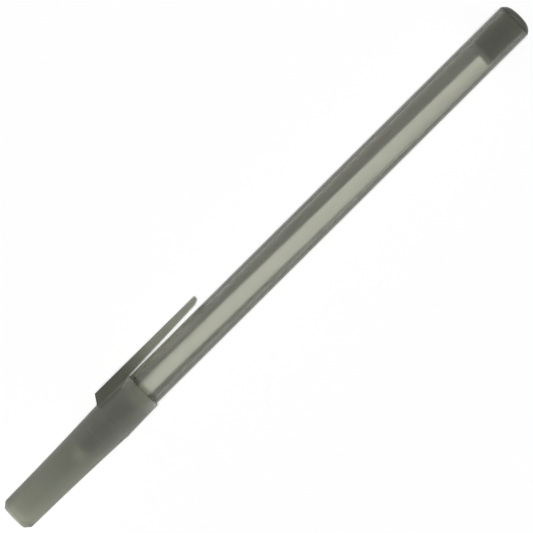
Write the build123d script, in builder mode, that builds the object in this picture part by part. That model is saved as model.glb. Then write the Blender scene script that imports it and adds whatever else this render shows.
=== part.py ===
from build123d import *
import os
from math import atan2, degrees, sqrt

# Stick ballpoint pen with its cap on, lying on its side, in millimetres.
# The pen's axis is X: the writing point looks to -X and the tail to +X.
# Y points to the side of the pocket clip and Z points up.
# The origin is on the axis, halfway along the barrel's straight grip.

# Barrel: a long tube with a slim neck in front
barrel_r = 4.05  # outside of the straight grip
barrel_wall = 0.95
grip_len = 85.55  # straight stretch that ends at the rear rim
grip_gap = 2.5  # from the clip's tip to the start of the straight grip
lead_drop = 0.03  # mould draft: how much slimmer the barrel is at its shoulder
land_step = 0.05  # small step at the shoulder, where the cap stops
land_len = 1.0
cone_len = 2.2  # from the land down to the neck
neck_len = 7.9
neck_wall = 0.8  # at the front of the neck
neck_rise = 0.42  # how much wider the neck is at its back
neck_edge = 0.4  # bevel around the neck's front
throat_back = 0.9  # the bore starts to narrow this far behind the shoulder
throat_len = 3.0

# Ink tube: pushed into the point holder, leaning on the bore at its rear end
tube_r = 1.55
tube_wall = 0.4
tube_seat = 4.5  # depth of the tube in the holder's socket
tube_bend_r = 300.0  # gentle bend behind the socket
tube_gap = 1.4  # left between the tube's rear end and the end plug
tube_rest = 0.04  # left between the tube's rear end and the bore
ink_short = 12.0  # the ink stops this far before the tube's rear end

# Point holder: the black nose cone, pressed into the neck
holder_wall = 0.6  # around the tube
holder_shank_len = 7.5
holder_lead = 0.25  # lead-in chamfer at the shank's rear
collar_lip = 0.32  # the collar stands this far out of the neck's bore
collar_len = 1.2
collar_chamfer = 0.15
nose_len = 4.8  # cone between the collar and the straight front lip
nose_lip_len = 0.75
nose_face = 0.53  # width of the front face around the tip
passage_r = 0.6  # ink passage between the tube and the tip

# Writing tip and its ball
tip_r = 1.0
tip_body_len = 1.15
tip_body_drop = 0.06
tip_cone_len = 1.05
tip_cone_drop = 0.24
lip_len = 0.37  # spun lip that keeps the ball in
lip_wall = 0.07
tip_step = 0.15  # the pressed shank is this much slimmer than the tip's body
tip_shank_len = 4.0
tip_bore_r = 0.5
capillary_r = 0.2
capillary_len = 1.0
ball_r = 0.5
ball_clear = 0.015  # running clearance in the socket
ball_proud = 0.28  # how far the ball stands out of the lip
slot_count = 5  # ink slots in the ball's seat
slot_w = 0.12
slot_depth = 0.18  # out from the capillary
slot_len = 0.15  # behind the seat

# End plug: a low rounded head on a hollow stem, pressed into the bore
head_len = 1.6
crown_flat_r = 1.2  # flat middle of the crown
head_edge = 0.1  # straight edge left under the crown
stem_len = 9.1
stem_wall = 0.9
stem_lead = 0.3
plug_floor = 1.2  # thickness of plastic under the crown

# Cap: a flaring shell with a stepped bore and a vent through its thick end
cap_len = 37.85
mouth_gap = 0.15  # left between the mouth and the barrel's shoulder
cap_clear = 0.05  # radial clearance on the neck, the cone and the land
cap_end_wall = 2.1
cap_end_r = 3.88
end_chamfer_r = 0.95
end_chamfer_len = 1.1
flare_r = 4.6  # widest part of the flare, at the ring
flare_sag = 0.11  # the flare's middle lies this far inside a straight taper
ring_back = 9.0  # from the mouth to the small ring around the cap
ring_w = 0.6
ring_h = 0.07
mouth_wall = 0.38  # thin lip at the mouth
grip_depth = 13.5  # from the mouth to the step in the cap's bore
bore_step = 0.22
vent_r = 2.0

# Pocket clip, moulded with the cap
clip_len = 21.5  # free length behind the mouth
clip_root_len = 8.9
clip_slope_len = 1.35
clip_rise = 2.5  # outer face above the barrel, at the root
clip_root_gap = 0.17
clip_tip_gap = 0.98
clip_tip_t = 1.4
clip_bevel_len = 1.1
clip_bevel_h = 0.6
clip_root_w = 5.0
clip_waist_len = 7.5  # behind the mouth, where the clip narrows fast
clip_waist_w = 2.9
clip_waist_r = 20.0  # rounds the sides at the waist
clip_tip_w = 2.4
clip_corner_r = 0.9
clip_edge_r = 0.3

overrun = 1.0  # how far a cut runs past the face that it opens

# Places along the axis, from the tail to the front
rim_x = grip_len / 2
grip_x = rim_x - grip_len
shoulder_x = grip_x - grip_gap - clip_len + mouth_gap
land_x = shoulder_x - land_len
cone_x = land_x - cone_len
neck_x = cone_x - neck_len
throat_x = shoulder_x + throat_back
holder_rear_x = neck_x + holder_shank_len
tube_front_x = holder_rear_x - tube_seat
collar_x = neck_x - collar_len
nose_lip_x = collar_x - nose_len
nose_x = nose_lip_x - nose_lip_len
tip_rear_x = nose_x + tip_shank_len
tip_cone_x = nose_x - tip_body_len
lip_back_x = tip_cone_x - tip_cone_len
lip_x = lip_back_x - lip_len
ball_x = lip_x - ball_proud + ball_r
stem_x = rim_x - stem_len
crown_x = rim_x + head_len
mouth_x = shoulder_x - mouth_gap
ring_x = mouth_x - ring_back
cap_step_x = mouth_x - grip_depth
cap_end_x = mouth_x - cap_len
chamber_x = cap_end_x + cap_end_wall

# Radii that pieces share
bore_r = barrel_r - barrel_wall
lead_r = barrel_r - lead_drop
land_r = lead_r - land_step
neck_bore_r = tube_r + holder_wall
neck_front_r = neck_bore_r + neck_wall
neck_base_r = neck_front_r + neck_rise
tube_bore_r = tube_r - tube_wall
collar_r = neck_bore_r + collar_lip
nose_r = tip_r + nose_face
tip_shank_r = tip_r - tip_step
tip_neck_r = tip_r - tip_body_drop
lip_back_r = tip_neck_r - tip_cone_drop
socket_r = ball_r + ball_clear
lip_r = sqrt(socket_r**2 - (ball_r - ball_proud) ** 2) + lip_wall
seat_x = ball_x + socket_r
capillary_x = seat_x + capillary_len
cap_land_r = land_r + cap_clear
cap_bore_r = neck_base_r + cap_clear
chamber_r = cap_bore_r - bore_step
mouth_r = cap_land_r + mouth_wall

# The tube leaves its socket straight, bends gently to the side away from the clip
# and runs on until its rear end rests on the bore.
tube_offset = bore_r - tube_r - tube_rest
tube_span = stem_x - tube_gap - holder_rear_x
bend_side = tube_bend_r - tube_offset
tube_run = sqrt(tube_span**2 + bend_side**2 - tube_bend_r**2)
tube_lean = atan2(tube_span, bend_side) - atan2(tube_run, tube_bend_r)


def tube_line(short):
    """The tube's centre line, ending this far before the tube's rear end."""
    with BuildLine() as line:
        seat = Line((tube_front_x, 0), (holder_rear_x, 0))
        bend = JernArc(seat @ 1, seat % 1, tube_bend_r, -degrees(tube_lean))
        PolarLine(bend @ 1, tube_run - short, direction=bend % 1)
    return line.line


with BuildPart() as barrel:
    with BuildSketch() as barrel_half:
        with BuildLine():
            Polyline(
                (neck_x, neck_bore_r),
                (neck_x, neck_front_r),
                (cone_x, neck_base_r),
                (land_x, land_r),
                (shoulder_x, land_r),
                (shoulder_x, lead_r),
                (grip_x, barrel_r),
                (rim_x, barrel_r),
                (rim_x, bore_r),
                (throat_x, bore_r),
                (throat_x - throat_len, neck_bore_r),
                close=True,
            )
        make_face()
        neck_corner = barrel_half.vertices().group_by(Axis.X)[0].sort_by(Axis.Y)[-1]
        chamfer(neck_corner, neck_edge)
    revolve(axis=Axis.X)

with BuildPart() as end_plug:
    with BuildSketch() as plug_half:
        with BuildLine():
            crown = TangentArc((crown_x, crown_flat_r), (rim_x + head_edge, barrel_r), tangent=(0, 1))
            Polyline(
                crown @ 1,
                (rim_x, barrel_r),
                (rim_x, bore_r),
                (stem_x + stem_lead, bore_r),
                (stem_x, bore_r - stem_lead),
                (stem_x, bore_r - stem_wall),
                (crown_x - plug_floor, bore_r - stem_wall),
                (crown_x - plug_floor, 0),
                (crown_x, 0),
                crown @ 0,
            )
        make_face()
    revolve(axis=Axis.X)

with BuildPart() as point_holder:
    with BuildSketch():
        with BuildLine():
            Polyline(
                (nose_x, tip_shank_r),
                (nose_x, nose_r),
                (nose_lip_x, nose_r),
                (collar_x, collar_r),
                (neck_x - collar_chamfer, collar_r),
                (neck_x, collar_r - collar_chamfer),
                (neck_x, neck_bore_r),
                (holder_rear_x - holder_lead, neck_bore_r),
                (holder_rear_x, neck_bore_r - holder_lead),
                (holder_rear_x, tube_r),
                (tube_front_x, tube_r),
                (tube_front_x, passage_r),
                (tip_rear_x, passage_r),
                (tip_rear_x, tip_shank_r),
                close=True,
            )
        make_face()
    revolve(axis=Axis.X)

with BuildPart() as writing_tip:
    with BuildSketch():
        with BuildLine():
            Polyline(
                (lip_x, 0),
                (lip_x, lip_r),
                (lip_back_x, lip_back_r),
                (tip_cone_x, tip_neck_r),
                (nose_x, tip_r),
                (nose_x, tip_shank_r),
                (tip_rear_x, tip_shank_r),
                (tip_rear_x, tip_bore_r),
                (capillary_x, tip_bore_r),
                (capillary_x, capillary_r),
                (ball_x, capillary_r),
                (ball_x, 0),
                close=True,
            )
        make_face()
    revolve(axis=Axis.X)
    with Locations((ball_x, 0, 0)):
        Sphere(socket_r, mode=Mode.SUBTRACT)
    with BuildSketch(Plane.YZ.offset(ball_x)):
        with PolarLocations(capillary_r, slot_count):
            Rectangle(2 * slot_depth, slot_w)
    extrude(amount=socket_r + slot_len, mode=Mode.SUBTRACT)

with BuildPart() as ball:
    with Locations((ball_x, 0, 0)):
        Sphere(ball_r)

with BuildPart() as ink_tube:
    tube_path = tube_line(0)
    with BuildSketch(Plane(origin=tube_path @ 0, z_dir=tube_path % 0)):
        Circle(tube_r)
        Circle(tube_bore_r, mode=Mode.SUBTRACT)
    sweep(path=tube_path)

with BuildPart() as ink:
    ink_path = tube_line(ink_short)
    with BuildSketch(Plane(origin=ink_path @ 0, z_dir=ink_path % 0)):
        Circle(tube_bore_r)
    sweep(path=ink_path)
    with BuildSketch():
        with BuildLine():
            Polyline(
                (capillary_x, 0),
                (capillary_x, tip_bore_r),
                (tip_rear_x, tip_bore_r),
                (tip_rear_x, passage_r),
                (tube_front_x, passage_r),
                (tube_front_x, 0),
                close=True,
            )
        make_face()
    revolve(axis=Axis.X)

with BuildPart() as clip:
    clip_x = mouth_x - clip_root_len
    clip_waist_x = mouth_x + clip_waist_len
    clip_tip_x = mouth_x + clip_len
    clip_tip_y = barrel_r + clip_tip_gap
    with BuildSketch():
        with BuildLine():
            Polyline(
                (clip_x, cap_bore_r),
                (clip_x, flare_r),
                (clip_x + clip_slope_len, barrel_r + clip_rise),
                (clip_tip_x, clip_tip_y + clip_tip_t),
                (clip_tip_x, clip_tip_y + clip_bevel_h),
                (clip_tip_x - clip_bevel_len, clip_tip_y),
                (mouth_x, barrel_r + clip_root_gap),
                (mouth_x, cap_bore_r),
                close=True,
            )
        make_face()
    extrude(amount=clip_root_w / 2, both=True)
    with BuildSketch(Plane.XZ) as clip_plan:
        with BuildLine():
            Polyline(
                (clip_x, -clip_root_w / 2),
                (mouth_x, -clip_root_w / 2),
                (clip_waist_x, -clip_waist_w / 2),
                (clip_tip_x, -clip_tip_w / 2),
                (clip_tip_x, clip_tip_w / 2),
                (clip_waist_x, clip_waist_w / 2),
                (mouth_x, clip_root_w / 2),
                (clip_x, clip_root_w / 2),
                close=True,
            )
        make_face()
        fillet(clip_plan.vertices().group_by(Axis.X)[-2], clip_waist_r)
        fillet(clip_plan.vertices().group_by(Axis.X)[-1], clip_corner_r)
    extrude(amount=-(barrel_r + clip_rise), mode=Mode.INTERSECT)
    fillet(clip.faces().sort_by(Axis.Y)[-1].edges(), clip_edge_r)

with BuildPart() as cap:
    flare_x = cap_end_x + end_chamfer_len
    flare_end_x = ring_x - ring_w / 2
    flare_mid_r = (cap_end_r + flare_r) / 2 - flare_sag
    with BuildSketch():
        with BuildLine():
            flare = ThreePointArc(
                (flare_x, cap_end_r),
                ((flare_x + flare_end_x) / 2, flare_mid_r),
                (flare_end_x, flare_r),
            )
            Polyline(
                flare @ 1,
                (ring_x, flare_r + ring_h),
                (ring_x + ring_w / 2, flare_r),
                (mouth_x, mouth_r),
                (mouth_x, 0),
                (cap_end_x, 0),
                (cap_end_x, cap_end_r - end_chamfer_r),
                flare @ 0,
            )
        make_face()
    revolve(axis=Axis.X)
    add(clip.part)
    with BuildSketch():
        with BuildLine():
            Polyline(
                (cap_end_x - overrun, 0),
                (cap_end_x - overrun, vent_r),
                (chamber_x, vent_r),
                (chamber_x, chamber_r),
                (cap_step_x, chamber_r),
                (cap_step_x, cap_bore_r),
                (cone_x, cap_bore_r),
                (land_x, cap_land_r),
                (mouth_x + overrun, cap_land_r),
                (mouth_x + overrun, 0),
                close=True,
            )
        make_face()
    revolve(axis=Axis.X, mode=Mode.SUBTRACT)

pieces = {
    "barrel": barrel,
    "end_plug": end_plug,
    "point_holder": point_holder,
    "writing_tip": writing_tip,
    "ball": ball,
    "ink_tube": ink_tube,
    "ink": ink,
    "cap": cap,
}
os.makedirs("parts", exist_ok=True)
for name, piece in pieces.items():
    piece.part.label = name
    export_step(piece.part, f"parts/{name}.step")
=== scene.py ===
import math

import bmesh
import bpy
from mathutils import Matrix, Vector


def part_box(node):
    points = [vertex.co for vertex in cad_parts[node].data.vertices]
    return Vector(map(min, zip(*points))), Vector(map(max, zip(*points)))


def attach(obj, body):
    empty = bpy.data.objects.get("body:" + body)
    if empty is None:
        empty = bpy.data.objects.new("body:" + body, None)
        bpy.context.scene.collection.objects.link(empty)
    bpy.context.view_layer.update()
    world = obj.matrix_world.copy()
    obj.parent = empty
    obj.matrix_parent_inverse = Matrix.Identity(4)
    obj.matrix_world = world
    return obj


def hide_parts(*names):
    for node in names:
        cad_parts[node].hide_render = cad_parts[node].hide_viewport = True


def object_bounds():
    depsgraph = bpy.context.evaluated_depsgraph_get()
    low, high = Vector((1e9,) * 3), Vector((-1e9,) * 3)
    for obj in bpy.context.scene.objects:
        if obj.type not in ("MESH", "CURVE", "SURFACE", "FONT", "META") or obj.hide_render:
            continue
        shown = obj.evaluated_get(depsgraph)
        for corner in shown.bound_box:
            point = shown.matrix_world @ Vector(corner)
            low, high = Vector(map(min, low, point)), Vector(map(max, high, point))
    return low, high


# Looks of a stick ballpoint pen with its cap on, in metres.
# The pen's axis is X: the writing point looks to -X, the tail to +X and the clip to +Y.

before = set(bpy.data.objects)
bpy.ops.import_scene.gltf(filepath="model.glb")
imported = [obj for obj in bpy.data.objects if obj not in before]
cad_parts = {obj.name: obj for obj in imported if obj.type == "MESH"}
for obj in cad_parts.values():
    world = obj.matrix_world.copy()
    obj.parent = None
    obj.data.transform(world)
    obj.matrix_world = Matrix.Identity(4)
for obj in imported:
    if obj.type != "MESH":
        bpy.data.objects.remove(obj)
cad_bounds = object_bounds()

MM = 0.001
SEGMENTS = 144  # facets around a turned piece
TURNS = [2 * math.pi * k / SEGMENTS for k in range(SEGMENTS)]  # their angles
CORNER_STEPS = 5  # facets of a rounded corner
SHARP_ANGLE = math.radians(38)  # an edge that turns by more is shaded sharp
FIT_GAP = 0.02 * MM  # air between pieces that are pressed together
EDGE_ROUND = 0.08 * MM  # broken edge of a moulding

# Boxes of the solids, which give the places and the outer radii
barrel_low, barrel_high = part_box("barrel")
plug_low, plug_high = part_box("end_plug")
cap_low, cap_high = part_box("cap")
holder_low, holder_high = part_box("point_holder")
tip_low, tip_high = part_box("writing_tip")
ball_low, ball_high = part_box("ball")
tube_low, tube_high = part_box("ink_tube")

# Barrel, from its neck to its rim
BARREL_R = barrel_high.y
BARREL_WALL = 0.95 * MM
BORE_R = BARREL_R - BARREL_WALL
RIM_X = barrel_high.x
NECK_X = barrel_low.x
NECK_LEN = 7.9 * MM
NECK_BORE_R = 2.15 * MM
NECK_FRONT_R = 2.95 * MM
NECK_BASE_R = 3.37 * MM
NECK_ROUND = 0.4 * MM
CONE_LEN = 2.2 * MM
LAND_LEN = 1.0 * MM
LAND_R = 3.97 * MM
LEAD_R = 4.02 * MM
LEAD_LEN = 23.85 * MM  # drafted stretch under the clip
THROAT_BACK = 0.9 * MM  # the bore starts to narrow this far behind the shoulder
THROAT_LEN = 3.0 * MM
CONE_X = NECK_X + NECK_LEN
LAND_X = CONE_X + CONE_LEN
SHOULDER_X = LAND_X + LAND_LEN
THROAT_X = SHOULDER_X + THROAT_BACK

# End plug
STEM_X = plug_low.x
CROWN_X = plug_high.x
CROWN_FLAT_R = 1.7 * MM
HEAD_EDGE = 0.1 * MM  # straight edge of the head, below its dome
STEM_WALL = 0.9 * MM
STEM_LEAD = 0.3 * MM
PLUG_FLOOR = 1.2 * MM
DOME_STEPS = 16

# Cap
CAP_END_X = cap_low.x
MOUTH_GAP = 0.15 * MM
MOUTH_X = SHOULDER_X - MOUTH_GAP
MOUTH_WALL = 0.38 * MM
CAP_CLEAR = 0.05 * MM
CAP_LAND_R = LAND_R + CAP_CLEAR
CAP_BORE_R = NECK_BASE_R + CAP_CLEAR
CAP_END_R = 3.88 * MM
CAP_END_WALL = 2.1 * MM
END_CHAMFER_R = 0.95 * MM
END_CHAMFER_LEN = 1.1 * MM
FLARE_R = 4.6 * MM
FLARE_SAG = 0.11 * MM  # hollow of the flare, halfway along
FLARE_STEPS = 24
RING_R = cap_high.z
RING_BACK = 9.0 * MM
RING_W = 0.6 * MM
RING_STEPS = 10
RING_X = MOUTH_X - RING_BACK
GRIP_DEPTH = 13.5 * MM
CHAMBER_R = 3.2 * MM
CHAMBER_ROUND = 0.5 * MM
CHAMBER_X = CAP_END_X + CAP_END_WALL
VENT_R = 2.0 * MM
OVERRUN = 1.0 * MM  # the hollow's cutter reaches this far past the cap

# Clip
CLIP_BACK = 8.9 * MM  # from the cap's mouth back to the clip's start
CLIP_X = MOUTH_X - CLIP_BACK
CLIP_TIP_X = cap_high.x
CLIP_SLOPE_LEN = 1.35 * MM
CLIP_TOP = cap_high.y
CLIP_ROOT_GAP = 0.17 * MM
CLIP_TIP_GAP = 0.98 * MM
CLIP_TIP_T = 1.4 * MM
CLIP_BEVEL_LEN = 1.1 * MM
CLIP_BEVEL_H = 0.6 * MM
CLIP_ROOT_W = 5.0 * MM
CLIP_WAIST_LEN = 7.5 * MM
CLIP_WAIST_W = 2.9 * MM
CLIP_TIP_W = 2.4 * MM
CLIP_CORNER_R = 0.9 * MM
CLIP_CORNER_STEPS = 10
CLIP_CORNER_SHARE = 0.999  # share of the corner's length that its sections reach
CLIP_EDGE_R = 0.3 * MM  # of its outer face
CLIP_UNDER_R = 0.08 * MM  # of the face towards the barrel
CLIP_EDGE_BY_HEIGHT = 0.45  # largest rounding, as a share of the section's height
CLIP_EDGE_BY_WIDTH = 0.9  # and of half its width
CLIP_SINK = 0.05 * MM  # the clip's root starts this far inside the cap's wall

# Point holder
HOLDER_REAR_X = holder_high.x
NOSE_X = holder_low.x
COLLAR_R = holder_high.y
COLLAR_LEN = 1.2 * MM
COLLAR_CHAMFER = 0.15 * MM
COLLAR_X = NECK_X - COLLAR_LEN
NOSE_LIP_LEN = 0.75 * MM
NOSE_R = 1.53 * MM
HOLDER_LEAD = 0.25 * MM
PASSAGE_R = 0.6 * MM

# Writing tip and ball
TIP_R = 1.0 * MM
TIP_REAR_X = tip_high.x
LIP_X = tip_low.x
TIP_BODY_LEN = 1.15 * MM
TIP_NECK_R = 0.94 * MM
TIP_CONE_LEN = 1.05 * MM
LIP_BACK_R = 0.7 * MM
LIP_WALL = 0.07 * MM
TIP_SHANK_R = 0.85 * MM
TIP_BORE_R = 0.5 * MM
CAPILLARY_R = 0.2 * MM
CAPILLARY_LEN = 1.0 * MM
BALL_R = (ball_high.x - ball_low.x) / 2
BALL_X = (ball_high.x + ball_low.x) / 2
BALL_CLEAR = 0.015 * MM
SOCKET_R = BALL_R + BALL_CLEAR
SOCKET_STEPS = 10
BALL_STEPS = 32

# Ink tube and ink
TUBE_R = tube_high.y
TUBE_WALL = 0.4 * MM
TUBE_BEND_R = 300 * MM
TUBE_FRONT_X = tube_low.x
BEND_STEPS = 8
INK_SHORT = 12 * MM  # the ink ends this far before the tube does
INK_R = TUBE_R - TUBE_WALL - FIT_GAP
MENISCUS = 0.5 * MM

# Tints of the cap's smoke that paint light and shade on it, and how far they fade
# painted shade on the cap around the writing tip
TIP_PAINTED_SHADE = (0.7, 0.71, 0.65)
TIP_FADE = 8.5 * MM
# painted light on the cap's side away from the clip
SIDE_PAINTED_LIGHT = (0.89, 0.9, 0.83)
SIDE_START = 0.6 * MM  # on the side away from the clip, measured from the axis
SIDE_END = 3.0 * MM
# painted shade on the clip's root
CLIP_ROOT_PAINTED_SHADE = (0.51, 0.52, 0.44)
# painted light along the clip's arm
CLIP_ARM_PAINTED_LIGHT = (0.84, 0.85, 0.77)
CLIP_FADE = 0.2 * MM
# painted light in the cap's end wall
END_PAINTED_LIGHT = (1, 1, 0.93)
END_FADE = 0.4 * MM
# painted highlight line at the cap bore's step
STEP_PAINTED_HIGHLIGHT = (0.98, 0.99, 0.93)
STEP_LINE = 0.16 * MM  # half the width of the painted highlight line at the bore's step

# Tints of the barrel's smoke that paint light and shade on it
# painted light on the barrel's side below the clip
BELOW_CLIP_PAINTED_LIGHT = (0.88, 0.87, 0.9)
# painted shade on the barrel shoulder's top, by the cap's mouth
SHOULDER_PAINTED_SHADE = (0.55, 0.56, 0.49)
SHOULDER_FADE = 1.3 * MM

# Finishes; the scales of noise are in features per metre
FIELD_LOW = 0.3  # noise keeps mostly between these two values
FIELD_HIGH = 0.7
RIM_START = 0.2  # a surface darkens between these values of Layer Weight's Facing
RIM_END = 0.45
CLOUD_SCALE = 260
CLOUD_DIP = 0.96  # share of the colour in its darker clouds
STREAK_SCALE = 900
STREAK_STRETCH = (0.12, 1, 1)
GRAIN_STRETCH = (0.1, 1, 1)
PATCH_SCALE = 400
GLOSS_SCALE = 1500
TOOL_MARK_STRETCH = (1, 0.02, 0.02)
BARREL_FINISH_R = 3.3 * MM  # nearer to the axis, the barrel has the finish of its bore
CAP_FINISH_R = 3.5 * MM  # and the cap that of its own

# Stage
FLOOR_SIZE = 2.0
FLOOR_CELLS = 8
FLOOR_COLOUR = (0.94, 0.94, 0.94)
FLOOR_WHITE = 0.03  # share of plain white in the floor that is seen
LAMP_LIGHT = 3.0
LAMP_ANGLE = math.radians(8)
SIDE_LIGHT = 0.1  # strength of the dome as light on matt surfaces

# Camera, straight above the pen
CAMERA_LENS = 200  # lens and sensor in millimetres
CAMERA_SENSOR = 36
VIEW_WIDTH = 111.7 * MM  # width of the picture at the pen's axis
VIEW_X = (CAP_END_X + CROWN_X) / 2
VIEW_Y = 0.115 * MM
VIEW_TURN = math.radians(-44.84)


def turned(arm, angle):
    """A flat vector turned by an angle."""
    cos, sin = math.cos(angle), math.sin(angle)
    return Vector((arm.x * cos - arm.y * sin, arm.x * sin + arm.y * cos))


def rounded(corners):
    """Points of an outline of (x, r, rounding) corners, the roundings as arcs."""
    points = []
    for i, (x, r, rounding) in enumerate(corners):
        here = Vector((x, r))
        if rounding == 0:
            points.append(here)
            continue
        before = Vector(corners[i - 1][:2]) - here
        after = Vector(corners[(i + 1) % len(corners)][:2]) - here
        half = before.angle(after) / 2
        inwards = (before.normalized() + after.normalized()).normalized()
        start = here + before.normalized() * rounding / math.tan(half)
        middle = here + inwards * rounding / math.sin(half)
        turn = math.pi - 2 * half
        spin = turn if before.cross(after) < 0 else -turn
        for step in range(CORNER_STEPS + 1):
            points.append(middle + turned(start - middle, spin * step / CORNER_STEPS))
    return points


def arc(start, middle, end, steps):
    """Points of the arc through three points, both ends included."""
    a, b, c = Vector(start), Vector(middle), Vector(end)
    d = 2 * (a.x * (b.y - c.y) + b.x * (c.y - a.y) + c.x * (a.y - b.y))
    aa, bb, cc = a.length_squared, b.length_squared, c.length_squared
    centre = Vector((
        (aa * (b.y - c.y) + bb * (c.y - a.y) + cc * (a.y - b.y)) / d,
        (aa * (c.x - b.x) + bb * (a.x - c.x) + cc * (b.x - a.x)) / d,
    ))
    turn = (a - centre).angle_signed(c - centre)
    return [centre + turned(a - centre, -turn * step / steps) for step in range(steps + 1)]


def closed_mesh(name, bm):
    """The mesh of a closed bmesh, its faces looking outwards."""
    bmesh.ops.recalc_face_normals(bm, faces=bm.faces)
    mesh = bpy.data.meshes.new(name)
    bm.to_mesh(mesh)
    bm.free()
    return mesh


def lathe_mesh(name, outline):
    """A closed mesh: an outline of (x, r) points turned about the pen's axis."""
    bm = bmesh.new()
    rings = []
    for x, r in outline:
        if r <= 0:
            rings.append([bm.verts.new((x, 0, 0))])
            continue
        rings.append([bm.verts.new((x, r * math.cos(t), r * math.sin(t))) for t in TURNS])
    for here, there in zip(rings, rings[1:] + rings[:1]):
        for k in range(SEGMENTS):
            near = [here[k % len(here)], here[(k + 1) % len(here)]]
            far = [there[(k + 1) % len(there)], there[k % len(there)]]
            corners = list(dict.fromkeys(near + far))
            if len(corners) > 2:
                bm.faces.new(corners)
    return closed_mesh(name, bm)


def loft_mesh(name, rings, closed):
    """A mesh skinned over rings of points: a closed loop of rings, or a solid with flat ends."""
    bm = bmesh.new()
    loops = [[bm.verts.new(p) for p in ring] for ring in rings]
    pairs = list(zip(loops, loops[1:]))
    if closed:
        pairs.append((loops[-1], loops[0]))
    for here, there in pairs:
        for k in range(len(here)):
            j = (k + 1) % len(here)
            bm.faces.new((here[k], here[j], there[j], there[k]))
    if not closed:
        bm.faces.new(loops[0])
        bm.faces.new(loops[-1])
    return closed_mesh(name, bm)


def boolean_mesh(mesh, other, operation):
    """The union or difference of two closed meshes."""
    first = bpy.data.objects.new("first", mesh)
    second = bpy.data.objects.new("second", other)
    for each in (first, second):
        bpy.context.scene.collection.objects.link(each)
    cut = first.modifiers.new("cut", "BOOLEAN")
    cut.operation = operation
    cut.solver = "EXACT"
    cut.object = second
    evaluated = first.evaluated_get(bpy.context.evaluated_depsgraph_get())
    made = bpy.data.meshes.new_from_object(evaluated)
    for each in (first, second):
        bpy.data.objects.remove(each)
    return made


def smooth_piece(name, mesh):
    """A shown object of that mesh, with smooth faces and sharp corners."""
    piece = bpy.data.objects.new(name, mesh)
    bpy.context.scene.collection.objects.link(piece)
    mesh.shade_smooth()
    mesh.set_sharp_from_angle(angle=SHARP_ANGLE)
    return piece


def turned_piece(name, outline):
    """A shown object: an outline of (x, r) points turned about the pen's axis."""
    return smooth_piece(name, lathe_mesh(name, outline))


def make_barrel():
    """The tube with its rim at the tail, and the shoulder, cone and slim neck in front."""
    return turned_piece("barrel_shell", rounded([
        (NECK_X, NECK_BORE_R, EDGE_ROUND),
        (NECK_X, NECK_FRONT_R, NECK_ROUND),
        (CONE_X, NECK_BASE_R, 2 * NECK_ROUND),
        (LAND_X, LAND_R, NECK_ROUND),
        (SHOULDER_X, LAND_R, 0),
        (SHOULDER_X, LEAD_R, EDGE_ROUND / 2),
        (SHOULDER_X + LEAD_LEN, BARREL_R, 0),
        (RIM_X, BARREL_R, EDGE_ROUND),
        (RIM_X, BORE_R, EDGE_ROUND),
        (THROAT_X, BORE_R, NECK_ROUND),
        (THROAT_X - THROAT_LEN, NECK_BORE_R, NECK_ROUND),
    ]))


def make_plug():
    """The domed head on the barrel's rim, and its hollow stem in the bore."""
    stem_r = BORE_R - FIT_GAP
    head_x = RIM_X + FIT_GAP
    edge_x = RIM_X + HEAD_EDGE
    rise = CROWN_X - edge_x
    run = BARREL_R - CROWN_FLAT_R
    dome_r = (run**2 + rise**2) / (2 * rise)
    reach = math.asin(run / dome_r)
    crown = [(CROWN_X, 0)]
    for step in range(DOME_STEPS):
        angle = reach * step / DOME_STEPS
        crown.append((CROWN_X - dome_r * (1 - math.cos(angle)), CROWN_FLAT_R + dome_r * math.sin(angle)))
    return turned_piece("tail_plug", crown + rounded([
        (edge_x, BARREL_R, 0),
        (head_x, BARREL_R, EDGE_ROUND),
        (head_x, stem_r, 0),
        (STEM_X + STEM_LEAD, stem_r, EDGE_ROUND),
        (STEM_X, stem_r - STEM_LEAD, EDGE_ROUND),
        (STEM_X, BORE_R - STEM_WALL, EDGE_ROUND),
        (CROWN_X - PLUG_FLOOR, BORE_R - STEM_WALL, STEM_LEAD),
        (CROWN_X - PLUG_FLOOR, 0, 0),
    ]))


def clip_section(x, bottom, top, half_w, edge, under_edge):
    """A rectangle across the clip, with a rounding above and another below."""
    ring = []
    for side_y, side_z, quarter in ((1, 1, 0), (-1, 1, 3), (-1, -1, 2), (1, -1, 1)):
        rounding = edge if side_y > 0 else under_edge
        y = (top if side_y > 0 else bottom) - side_y * rounding
        z = side_z * (half_w - rounding)
        for step in range(CORNER_STEPS + 1):
            angle = math.pi / 2 * (quarter + 1 - step / CORNER_STEPS)
            ring.append((x, y + rounding * math.sin(angle), z + rounding * math.cos(angle)))
    return ring


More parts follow.
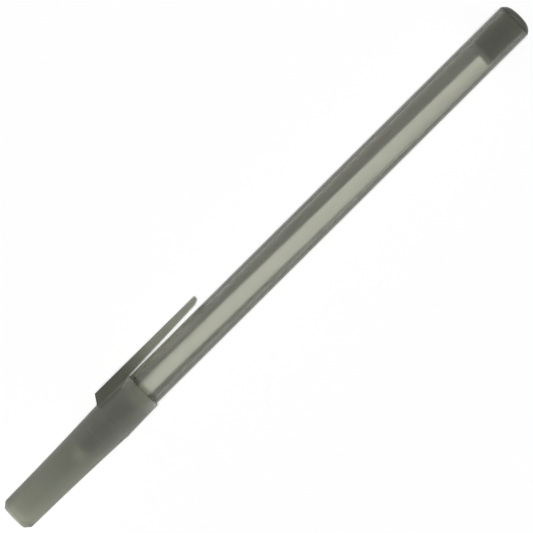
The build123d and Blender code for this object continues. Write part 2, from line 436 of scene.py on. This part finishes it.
def make_clip_mesh():
    """The clip: a root in the cap's wall, and a waisted arm to a bevelled tip with round corners."""
    slope_x = CLIP_X + CLIP_SLOPE_LEN
    tip_bottom = BARREL_R + CLIP_TIP_GAP
    tip_top = tip_bottom + CLIP_TIP_T
    step_x = MOUTH_X - CLIP_SINK
    waist_x = MOUTH_X + CLIP_WAIST_LEN
    corner_x = CLIP_TIP_X - CLIP_CORNER_R
    bevel_x = CLIP_TIP_X - CLIP_BEVEL_LEN

    def share(x, low, high):
        return min(max((x - low) / (high - low), 0), 1)

    def section(x, root):
        top = CLIP_TOP + (tip_top - CLIP_TOP) * share(x, slope_x, CLIP_TIP_X)
        if x < slope_x:
            top = FLARE_R - CLIP_SINK + (CLIP_TOP - FLARE_R + CLIP_SINK) * share(x, CLIP_X, slope_x)
        under = BARREL_R + CLIP_ROOT_GAP
        under += (tip_bottom - under) * share(x, MOUTH_X, bevel_x)
        under += CLIP_BEVEL_H * share(x, bevel_x, CLIP_TIP_X)
        bottom = CAP_BORE_R if root else under
        width = CLIP_ROOT_W + (CLIP_WAIST_W - CLIP_ROOT_W) * share(x, MOUTH_X, waist_x)
        half_w = (width + (CLIP_TIP_W - CLIP_WAIST_W) * share(x, waist_x, CLIP_TIP_X)) / 2
        past = max(x - corner_x, 0)
        half_w -= CLIP_CORNER_R - math.sqrt(CLIP_CORNER_R**2 - past**2)
        edge = min(CLIP_EDGE_R, CLIP_EDGE_BY_HEIGHT * (top - bottom), CLIP_EDGE_BY_WIDTH * half_w)
        return clip_section(x, bottom, top, half_w, edge, min(CLIP_UNDER_R, edge))

    rings = [section(x, True) for x in (CLIP_X, slope_x, step_x)]
    rings += [section(x, False) for x in (step_x, MOUTH_X, waist_x, bevel_x)]
    for step in range(1, CLIP_CORNER_STEPS + 1):
        turn = math.pi / 2 * step / CLIP_CORNER_STEPS
        rings.append(section(corner_x + CLIP_CORNER_R * math.sin(turn) * CLIP_CORNER_SHARE, False))
    return loft_mesh("clip", rings, closed=False)


def make_cap():
    """The flaring shell with its ring, joined to the clip and then hollowed."""
    flare_x = CAP_END_X + END_CHAMFER_LEN
    flare_end_x = RING_X - RING_W / 2
    flare_mid = ((flare_x + flare_end_x) / 2, (CAP_END_R + FLARE_R) / 2 - FLARE_SAG)
    flare = arc((flare_x, CAP_END_R), flare_mid, (flare_end_x, FLARE_R), FLARE_STEPS)
    ring = arc((flare_end_x, FLARE_R), (RING_X, RING_R), (flare_end_x + RING_W, FLARE_R), RING_STEPS)
    mouth_r = CAP_LAND_R + MOUTH_WALL
    outer = flare + ring[1:] + rounded([
        (MOUTH_X - EDGE_ROUND, mouth_r, 0),
        (MOUTH_X, mouth_r - EDGE_ROUND, 0),
        (MOUTH_X, 0, 0),
        (CAP_END_X, 0, 0),
        (CAP_END_X, CAP_END_R - END_CHAMFER_R, 0),
    ])
    hollow = rounded([
        (CAP_END_X - OVERRUN, 0, 0),
        (CAP_END_X - OVERRUN, VENT_R, 0),
        (CHAMBER_X, VENT_R, 0),
        (CHAMBER_X, CHAMBER_R, CHAMBER_ROUND),
        (MOUTH_X - GRIP_DEPTH, CHAMBER_R, EDGE_ROUND),
        (MOUTH_X - GRIP_DEPTH, CAP_BORE_R, EDGE_ROUND),
        (CONE_X, CAP_BORE_R, NECK_ROUND),
        (LAND_X, CAP_LAND_R, NECK_ROUND),
        (MOUTH_X + OVERRUN, CAP_LAND_R, 0),
        (MOUTH_X + OVERRUN, 0, 0),
    ])
    whole = boolean_mesh(lathe_mesh("cap_outer", outer), make_clip_mesh(), "UNION")
    shell = boolean_mesh(whole, lathe_mesh("cap_hollow", hollow), "DIFFERENCE")
    shell.name = "cap_shell"
    return smooth_piece("cap_shell", shell)


def make_holder():
    """The nose cone with its collar, and the stem that holds the tip and the tube."""
    return turned_piece("nose_cone", rounded([
        (NOSE_X, TIP_SHANK_R + FIT_GAP, 0),
        (NOSE_X, NOSE_R, EDGE_ROUND),
        (NOSE_X + NOSE_LIP_LEN, NOSE_R, NECK_ROUND),
        (COLLAR_X, COLLAR_R, EDGE_ROUND),
        (NECK_X - COLLAR_CHAMFER, COLLAR_R, EDGE_ROUND / 2),
        (NECK_X - FIT_GAP, COLLAR_R - COLLAR_CHAMFER, 0),
        (NECK_X - FIT_GAP, NECK_BORE_R - FIT_GAP, 0),
        (HOLDER_REAR_X - HOLDER_LEAD, NECK_BORE_R - FIT_GAP, 0),
        (HOLDER_REAR_X, NECK_BORE_R - HOLDER_LEAD, 0),
        (HOLDER_REAR_X, TUBE_R + FIT_GAP, 0),
        (TUBE_FRONT_X, TUBE_R + FIT_GAP, 0),
        (TUBE_FRONT_X, PASSAGE_R, 0),
        (TIP_REAR_X + FIT_GAP, PASSAGE_R, 0),
        (TIP_REAR_X + FIT_GAP, TIP_SHANK_R + FIT_GAP, 0),
    ]))


def make_tip():
    """The metal tip: a bored shank, a cone, and a lip that closes round the ball."""
    lip_back_x = NOSE_X - TIP_BODY_LEN - TIP_CONE_LEN
    open_r = math.sqrt(SOCKET_R**2 - (BALL_X - LIP_X) ** 2)
    seat_x = BALL_X + math.sqrt(SOCKET_R**2 - CAPILLARY_R**2)
    deepest = math.atan2(CAPILLARY_R, seat_x - BALL_X)
    widest = math.atan2(open_r, LIP_X - BALL_X)
    socket = []
    for step in range(SOCKET_STEPS + 1):
        angle = deepest + (widest - deepest) * step / SOCKET_STEPS
        socket.append(Vector((BALL_X + SOCKET_R * math.cos(angle), SOCKET_R * math.sin(angle))))
    return turned_piece("turned_tip", rounded([
        (LIP_X, open_r + LIP_WALL, LIP_WALL / 2),
        (lip_back_x, LIP_BACK_R, EDGE_ROUND),
        (NOSE_X - TIP_BODY_LEN, TIP_NECK_R, EDGE_ROUND),
        (NOSE_X - FIT_GAP, TIP_R, 0),
        (NOSE_X - FIT_GAP, TIP_SHANK_R, 0),
        (TIP_REAR_X, TIP_SHANK_R, EDGE_ROUND),
        (TIP_REAR_X, TIP_BORE_R, EDGE_ROUND),
        (seat_x + CAPILLARY_LEN, TIP_BORE_R, 0),
        (seat_x + CAPILLARY_LEN, CAPILLARY_R, 0),
    ]) + socket)


def make_ball():
    """The writing ball, with its poles on the pen's axis."""
    outline = [(BALL_X + BALL_R, 0)]
    for step in range(1, BALL_STEPS):
        angle = math.pi * step / BALL_STEPS
        outline.append((BALL_X + BALL_R * math.cos(angle), BALL_R * math.sin(angle)))
    outline.append((BALL_X - BALL_R, 0))
    return turned_piece("writing_ball", outline)


def tube_stations(short):
    """Places and directions along the tube's centre line, ending short of its rear end."""
    offset = -tube_low.y - TUBE_R
    span = tube_high.x - HOLDER_REAR_X
    side = TUBE_BEND_R - offset
    run = math.sqrt(span**2 + side**2 - TUBE_BEND_R**2)
    lean = math.atan2(span, side) - math.atan2(run, TUBE_BEND_R)
    stations = [(Vector((TUBE_FRONT_X, 0, 0)), 0)]
    for step in range(BEND_STEPS + 1):
        turn = lean * step / BEND_STEPS
        x = HOLDER_REAR_X + TUBE_BEND_R * math.sin(turn)
        stations.append((Vector((x, -TUBE_BEND_R * (1 - math.cos(turn)), 0)), turn))
    ahead = Vector((math.cos(lean), -math.sin(lean), 0))
    back_off = TUBE_R * math.sin(lean) + short
    stations.append((stations[-1][0] + ahead * (run - back_off), lean))
    return stations


def tube_ring(station, r):
    """A circle across the tube at a station."""
    place, turn = station
    across = Vector((math.sin(turn), math.cos(turn), 0))
    up = Vector((0, 0, 1))
    return [place + across * r * math.cos(t) + up * r * math.sin(t) for t in TURNS]


def make_tube():
    """The ink tube, open at both ends."""
    stations = tube_stations(0)
    rings = [tube_ring(s, TUBE_R) for s in stations]
    rings += [tube_ring(s, TUBE_R - TUBE_WALL) for s in reversed(stations)]
    return smooth_piece("refill_tube", loft_mesh("refill_tube", rings, closed=True))


def make_ink():
    """The ink from the tip's bore to the hollow end of its column in the tube."""
    seat_x = BALL_X + SOCKET_R
    front = [
        (seat_x + CAPILLARY_LEN + FIT_GAP, TIP_BORE_R - FIT_GAP),
        (TIP_REAR_X + FIT_GAP, TIP_BORE_R - FIT_GAP),
        (TIP_REAR_X + FIT_GAP, PASSAGE_R - FIT_GAP),
        (TUBE_FRONT_X + FIT_GAP, PASSAGE_R - FIT_GAP),
        (TUBE_FRONT_X + FIT_GAP, INK_R),
    ]
    rings = [tube_ring((Vector((x, 0, 0)), 0), r) for x, r in front]
    stations = tube_stations(INK_SHORT)
    rings += [tube_ring(s, INK_R) for s in stations[1:]]
    place, turn = stations[-1]
    ahead = Vector((math.cos(turn), -math.sin(turn), 0))
    for step in range(1, CORNER_STEPS + 1):
        angle = math.pi / 2 * step / (CORNER_STEPS + 1)
        hollow = place - ahead * MENISCUS * math.sin(angle)
        rings.append(tube_ring((hollow, turn), INK_R * math.cos(angle)))
    return smooth_piece("ink_column", loft_mesh("ink_column", rings, closed=False))


def new_material(name):
    """A material with its node tree and its surface shader."""
    material = bpy.data.materials.new(name)
    material.use_nodes = True
    return material, material.node_tree, material.node_tree.nodes["Principled BSDF"]


def feed(tree, value, socket):
    """Link the socket to another node's output, or set it to a plain value."""
    if isinstance(value, bpy.types.NodeSocket):
        tree.links.new(value, socket)
    else:
        socket.default_value = value


def maths(tree, operation, *values):
    """The result of one operation on plain numbers and other nodes' outputs."""
    node = tree.nodes.new("ShaderNodeMath")
    node.operation = operation
    for value, socket in zip(values, node.inputs):
        feed(tree, value, socket)
    return node.outputs["Value"]


def ramp_over(tree, value, start, end, low=0, high=1):
    """low where the value is at start, high where it is at end, and even between them."""
    ramp = tree.nodes.new("ShaderNodeMapRange")
    ramp.inputs["From Min"].default_value = start
    ramp.inputs["From Max"].default_value = end
    ramp.inputs["To Min"].default_value = low
    ramp.inputs["To Max"].default_value = high
    tree.links.new(value, ramp.inputs["Value"])
    return ramp.outputs["Result"]


def blend(tree, factor, first, second, data_type="RGBA", blend_type="MIX"):
    """The first colour or number where the factor is 0, and the second where it is 1."""
    node = tree.nodes.new("ShaderNodeMix")
    node.data_type = data_type
    node.blend_type = blend_type
    feed(tree, factor, node.inputs["Factor"])
    feed(tree, first, node.inputs["A"])
    feed(tree, second, node.inputs["B"])
    return node.outputs["Result"]


def own_place(tree):
    """Where a point lies on its piece, in the pen's axes."""
    return tree.nodes.new("ShaderNodeTexCoord").outputs["Object"]


def place_along(tree, axis):
    """How far along one of the pen's axes, X, Y or Z, a point lies."""
    split = tree.nodes.new("ShaderNodeSeparateXYZ")
    tree.links.new(own_place(tree), split.inputs["Vector"])
    return split.outputs[axis]


def axis_reach(tree):
    """How far from the pen's axis a point lies."""
    flat = tree.nodes.new("ShaderNodeVectorMath")
    flat.operation = "MULTIPLY"
    flat.inputs[1].default_value = (0, 1, 1)
    reach = tree.nodes.new("ShaderNodeVectorMath")
    reach.operation = "LENGTH"
    tree.links.new(own_place(tree), flat.inputs[0])
    tree.links.new(flat.outputs["Vector"], reach.inputs[0])
    return reach.outputs["Value"]


def noise_field(tree, scale, detail, stretch=(1, 1, 1)):
    """Noise over the piece, stretched along its axes."""
    mapping = tree.nodes.new("ShaderNodeMapping")
    mapping.inputs["Scale"].default_value = stretch
    noise = tree.nodes.new("ShaderNodeTexNoise")
    noise.inputs["Scale"].default_value = scale
    noise.inputs["Detail"].default_value = detail
    tree.links.new(own_place(tree), mapping.inputs["Vector"])
    tree.links.new(mapping.outputs["Vector"], noise.inputs["Vector"])
    return noise.outputs["Fac"]


def spread(tree, field, low, high):
    """A number between two, by the field."""
    return ramp_over(tree, field, FIELD_LOW, FIELD_HIGH, low, high)


def tint(tree, field, low, high):
    """A colour between two, by the field."""
    ramp = tree.nodes.new("ShaderNodeValToRGB")
    first, last = ramp.color_ramp.elements
    first.position = FIELD_LOW
    first.color = (*low, 1)
    last.position = FIELD_HIGH
    last.color = (*high, 1)
    tree.links.new(field, ramp.inputs["Fac"])
    return ramp.outputs["Color"]


def bumped(tree, shader, field, height):
    """The field as fine relief of that height."""
    bump = tree.nodes.new("ShaderNodeBump")
    bump.inputs["Strength"].default_value = 1
    bump.inputs["Distance"].default_value = height
    tree.links.new(field, bump.inputs["Height"])
    tree.links.new(bump.outputs["Normal"], shader.inputs["Normal"])


def rim_shade(tree, colour, rim):
    """The colour as it is where the surface is seen square on, and rim times it where it is seen aslant."""
    # Painted shade at the rims: on the smoke plastics it darkens the edges beyond what the walls absorb, and
    # on the metals it is a painted dark reflection.
    facing = tree.nodes.new("ShaderNodeLayerWeight").outputs["Facing"]
    share = ramp_over(tree, facing, RIM_START, RIM_END, 1, rim)
    return blend(tree, 1, colour, share, blend_type="MULTIPLY")


def cap_painted_light_and_shade(tree, colour):
    """The cap's smoke by place.

    It has painted shade towards the writing tip and on the clip's root. It has painted light on the side away
    from the clip, along the clip's arm and in the end wall, and a painted highlight line at the bore's step.
    """
    along = place_along(tree, "X")
    # Painted shade around the writing tip
    towards_tip = ramp_over(tree, along, LIP_X - TIP_FADE, LIP_X)
    before_nose = ramp_over(tree, along, NOSE_X, LIP_X)
    colour = blend(tree, maths(tree, "MULTIPLY", towards_tip, before_nose), colour, (*TIP_PAINTED_SHADE, 1))
    # Painted light on the side away from the clip
    beside = ramp_over(tree, place_along(tree, "Y"), -SIDE_START, -SIDE_END)
    colour = blend(tree, beside, colour, (*SIDE_PAINTED_LIGHT, 1))
    # Painted shade on the clip's root
    on_clip = ramp_over(tree, axis_reach(tree), FLARE_R + CLIP_FADE, FLARE_R + 2 * CLIP_FADE)
    colour = blend(tree, on_clip, colour, (*CLIP_ROOT_PAINTED_SHADE, 1))
    # Painted light along the clip's arm
    on_arm = ramp_over(tree, along, MOUTH_X, MOUTH_X + CLIP_WAIST_LEN)
    colour = blend(tree, on_arm, colour, (*CLIP_ARM_PAINTED_LIGHT, 1))
    # Painted light in the end wall
    at_end = ramp_over(tree, along, CHAMBER_X + END_FADE, CAP_END_X)
    colour = blend(tree, at_end, colour, (*END_PAINTED_LIGHT, 1))
    # A painted highlight line at the bore's step, on top and below
    near_step = maths(tree, "COMPARE", along, MOUTH_X - GRIP_DEPTH, STEP_LINE)
    height = maths(tree, "ABSOLUTE", place_along(tree, "Z"))
    over_bore = ramp_over(tree, height, CAP_BORE_R, CAP_END_R)
    return blend(tree, maths(tree, "MULTIPLY", near_step, over_bore), colour, (*STEP_PAINTED_HIGHLIGHT, 1))


def barrel_painted_light_and_shade(tree, colour):
    """The barrel's smoke: even painted light on the side below the clip, and painted shade on the shoulder's
    top.
    """
    along = place_along(tree, "X")
    # Even painted light on the side below the clip
    at_clip = ramp_over(tree, along, CLIP_TIP_X, CLIP_TIP_X - CLIP_WAIST_LEN)
    beside = ramp_over(tree, place_along(tree, "Y"), BARREL_R / 2, BORE_R)
    colour = blend(tree, maths(tree, "MULTIPLY", at_clip, beside), colour, (*BELOW_CLIP_PAINTED_LIGHT, 1))
    # Painted shade on the shoulder's top, by the cap's mouth
    at_shoulder = ramp_over(tree, along, SHOULDER_X + SHOULDER_FADE, SHOULDER_X)
    on_top = ramp_over(tree, place_along(tree, "Z"), BARREL_R / 2, BORE_R)
    return blend(tree, maths(tree, "MULTIPLY", at_shoulder, on_top), colour, (*SHOULDER_PAINTED_SHADE, 1))


def see_through(
    name, *, shade, clear, gloss, haze, rim, keep, density, ior, rough, bore_rough, bore_r, grain, relief
):
    """Smoke plastic that absorbs light inside, with one finish in its bore and another outside.

    shade paints light and shade onto the surface by place, or is None. clear is the share of light that goes
    through, and gloss the tint of what is mirrored. haze is the surface's colour, and rim its share where it
    is seen aslant.
    keep and density say what the inside lets through. rough and bore_rough are the ranges of roughness,
    bore_rough nearer to the axis than bore_r. grain is the scale of the relief.
    """
    material, tree, shader = new_material(name)
    shader.inputs["Transmission Weight"].default_value = clear
    shader.inputs["IOR"].default_value = ior
    shader.inputs["Specular Tint"].default_value = (gloss, gloss, gloss, 1)
    cloud = noise_field(tree, CLOUD_SCALE, detail=3)
    colour = rim_shade(tree, tint(tree, cloud, [CLOUD_DIP * c for c in haze], haze), rim)
    if shade:
        colour = shade(tree, colour)
    tree.links.new(colour, shader.inputs["Base Color"])
    streaks = noise_field(tree, STREAK_SCALE, detail=4, stretch=STREAK_STRETCH)
    outside = maths(tree, "GREATER_THAN", axis_reach(tree), bore_r)
    bore_finish = spread(tree, streaks, *bore_rough)
    finish = blend(tree, outside, bore_finish, spread(tree, streaks, *rough), data_type="FLOAT")
    tree.links.new(finish, shader.inputs["Roughness"])
    bumped(tree, shader, noise_field(tree, grain, detail=2, stretch=GRAIN_STRETCH), relief)
    absorb = tree.nodes.new("ShaderNodeVolumeAbsorption")
    absorb.inputs["Color"].default_value = (*keep, 1)
    absorb.inputs["Density"].default_value = density
    tree.links.new(absorb.outputs["Volume"], tree.nodes["Material Output"].inputs["Volume"])
    return material


def solid_plastic(name, *, low, high, gloss, rough, grain, relief):
    """Opaque plastic, or ink, with slight variation of colour and gloss."""
    material, tree, shader = new_material(name)
    shader.inputs["Specular IOR Level"].default_value = gloss
    patches = noise_field(tree, PATCH_SCALE, detail=3)
    tree.links.new(tint(tree, patches, low, high), shader.inputs["Base Color"])
    finish = spread(tree, noise_field(tree, GLOSS_SCALE, detail=4), *rough)
    tree.links.new(finish, shader.inputs["Roughness"])
    bumped(tree, shader, noise_field(tree, grain, detail=3), relief)
    return material


def turned_metal(name, *, low, high, rim, rough, pitch, relief):
    """Metal with fine tool marks around the pen's axis, and a painted dark reflection where it is seen
    aslant.
    """
    material, tree, shader = new_material(name)
    shader.inputs["Metallic"].default_value = 1
    marks = noise_field(tree, 1 / pitch, detail=2, stretch=TOOL_MARK_STRETCH)
    colour = rim_shade(tree, tint(tree, marks, low, high), rim)
    tree.links.new(colour, shader.inputs["Base Color"])
    tree.links.new(spread(tree, marks, *rough), shader.inputs["Roughness"])
    bumped(tree, shader, marks, relief)
    return material


def seen_rays(tree):
    """1 where a surface is seen, mirrored or seen through, and 0 where it only lights something else."""
    path = tree.nodes.new("ShaderNodeLightPath")
    seen = maths(tree, "MAXIMUM", path.outputs["Is Camera Ray"], path.outputs["Is Glossy Ray"])
    return maths(tree, "MAXIMUM", seen, path.outputs["Is Transmission Ray"])


def make_floor():
    """A pale floor that keeps the pen's shadow, a little lighter where it is seen."""
    bm = bmesh.new()
    bmesh.ops.create_grid(bm, x_segments=FLOOR_CELLS, y_segments=FLOOR_CELLS, size=FLOOR_SIZE)
    mesh = bpy.data.meshes.new("floor")
    bm.to_mesh(mesh)
    bm.free()
    floor = bpy.data.objects.new("floor", mesh)
    bpy.context.scene.collection.objects.link(floor)
    floor.location = ((CAP_END_X + CROWN_X) / 2, 0, cad_bounds[0].z)
    material, tree, shader = new_material("floor")
    shader.inputs["Base Color"].default_value = (*FLOOR_COLOUR, 1)
    shader.inputs["Roughness"].default_value = 1
    shader.inputs["Specular IOR Level"].default_value = 0
    white = tree.nodes.new("ShaderNodeEmission")
    mixed = tree.nodes.new("ShaderNodeMixShader")
    tree.links.new(maths(tree, "MULTIPLY", seen_rays(tree), FLOOR_WHITE), mixed.inputs["Fac"])
    tree.links.new(shader.outputs["BSDF"], mixed.inputs[1])
    tree.links.new(white.outputs["Emission"], mixed.inputs[2])
    tree.links.new(mixed.outputs["Shader"], tree.nodes["Material Output"].inputs["Surface"])
    mesh.materials.append(material)


def make_world():
    """An even dome: white where it is seen, mirrored or seen through, and faint as light on matt surfaces."""
    world = bpy.data.worlds.new("studio")
    bpy.context.scene.world = world
    world.use_nodes = True
    tree = world.node_tree
    background = tree.nodes["Background"]
    background.inputs["Color"].default_value = (1, 1, 1, 1)
    strength = blend(tree, seen_rays(tree), SIDE_LIGHT, 1, data_type="FLOAT")
    tree.links.new(strength, background.inputs["Strength"])


def make_lamp():
    """A broad soft lamp straight overhead. The dome is what gloss and glass show instead of it."""
    lamp_data = bpy.data.lights.new("lamp", "SUN")
    lamp_data.energy = LAMP_LIGHT
    lamp_data.angle = LAMP_ANGLE
    lamp = bpy.data.objects.new("lamp", lamp_data)
    lamp.visible_glossy = False
    lamp.visible_transmission = False
    bpy.context.scene.collection.objects.link(lamp)


def make_camera():
    """A long lens that looks straight down at the pen, turned as the photo is."""
    camera_data = bpy.data.cameras.new("camera")
    camera_data.type = "PERSP"
    camera_data.lens = CAMERA_LENS
    camera_data.sensor_width = CAMERA_SENSOR
    camera = bpy.data.objects.new("camera", camera_data)
    bpy.context.scene.collection.objects.link(camera)
    distance = VIEW_WIDTH * CAMERA_LENS / CAMERA_SENSOR
    camera.location = (VIEW_X, VIEW_Y, distance)
    camera.rotation_euler = (0, 0, VIEW_TURN)
    bpy.context.scene.camera = camera


looks = {
    "smoke_barrel": see_through(
        "smoke_barrel",
        shade=barrel_painted_light_and_shade,
        clear=0.985,
        gloss=0.6,
        haze=(1, 1, 1),
        rim=0.1,
        keep=(0.62, 0.64, 0.44),
        density=360,
        ior=1.46,
        rough=(0.08, 0.14),
        bore_rough=(0.36, 0.4),
        bore_r=BARREL_FINISH_R,
        grain=700,
        relief=0.001 * MM,
    ),
    "smoke_plug": see_through(
        "smoke_plug",
        shade=None,
        clear=0.91,
        gloss=0.6,
        haze=(0.64, 0.655, 0.52),
        rim=0.3,
        keep=(0.6, 0.62, 0.5),
        density=1400,
        ior=1.5,
        rough=(0.33, 0.38),
        bore_rough=(0.33, 0.38),
        bore_r=BARREL_FINISH_R,
        grain=700,
        relief=0.0005 * MM,
    ),
    "smoke_cap": see_through(
        "smoke_cap",
        shade=cap_painted_light_and_shade,
        clear=0.92,
        gloss=0.4,
        haze=(0.795, 0.805, 0.74),
        rim=0.8,
        keep=(0.61, 0.625, 0.54),
        density=400,
        ior=1.46,
        rough=(0.36, 0.44),
        bore_rough=(0.92, 1),
        bore_r=CAP_FINISH_R,
        grain=1200,
        relief=0.0005 * MM,
    ),
    "black_plastic": solid_plastic(
        "black_plastic",
        low=(0.005, 0.005, 0.0055),
        high=(0.009, 0.009, 0.0095),
        gloss=0.2,
        rough=(0.1, 0.22),
        grain=2500,
        relief=0.004 * MM,
    ),
    "nickel_silver": turned_metal(
        "nickel_silver",
        low=(0.58, 0.56, 0.5),
        high=(0.72, 0.69, 0.64),
        rim=0.2,
        rough=(0.12, 0.3),
        pitch=0.03 * MM,
        relief=0.002 * MM,
    ),
    "ball_carbide": turned_metal(
        "ball_carbide",
        low=(0.2, 0.2, 0.21),
        high=(0.3, 0.3, 0.31),
        rim=0.2,
        rough=(0.1, 0.25),
        pitch=0.08 * MM,
        relief=0.001 * MM,
    ),
    "white_tube": solid_plastic(
        "white_tube",
        low=(0.95, 0.96, 0.9),
        high=(0.99, 1, 0.94),
        gloss=0.5,
        rough=(0.3, 0.45),
        grain=1200,
        relief=0.004 * MM,
    ),
    "black_ink": solid_plastic(
        "black_ink",
        low=(0.006, 0.006, 0.01),
        high=(0.012, 0.012, 0.018),
        gloss=0.5,
        rough=(0.05, 0.15),
        grain=600,
        relief=0.01 * MM,
    ),
}

# Each piece with the body it rides on, the solid it replaces and its material
pieces = [
    (make_barrel(), "barrel", "barrel", "smoke_barrel"),
    (make_plug(), "barrel", "end_plug", "smoke_plug"),
    (make_holder(), "barrel", "point_holder", "black_plastic"),
    (make_tip(), "barrel", "writing_tip", "nickel_silver"),
    (make_tube(), "barrel", "ink_tube", "white_tube"),
    (make_ink(), "barrel", "ink", "black_ink"),
    (make_cap(), "cap", "cap", "smoke_cap"),
    (make_ball(), "ball", "ball", "ball_carbide"),
]
for piece, body, node, slot in pieces:
    piece.data.materials.clear()
    piece.data.materials.append(looks[slot])
    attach(piece, body)
    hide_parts(node)

make_floor()
make_world()
make_lamp()
make_camera()
bpy.context.scene.view_settings.view_transform = "Standard"
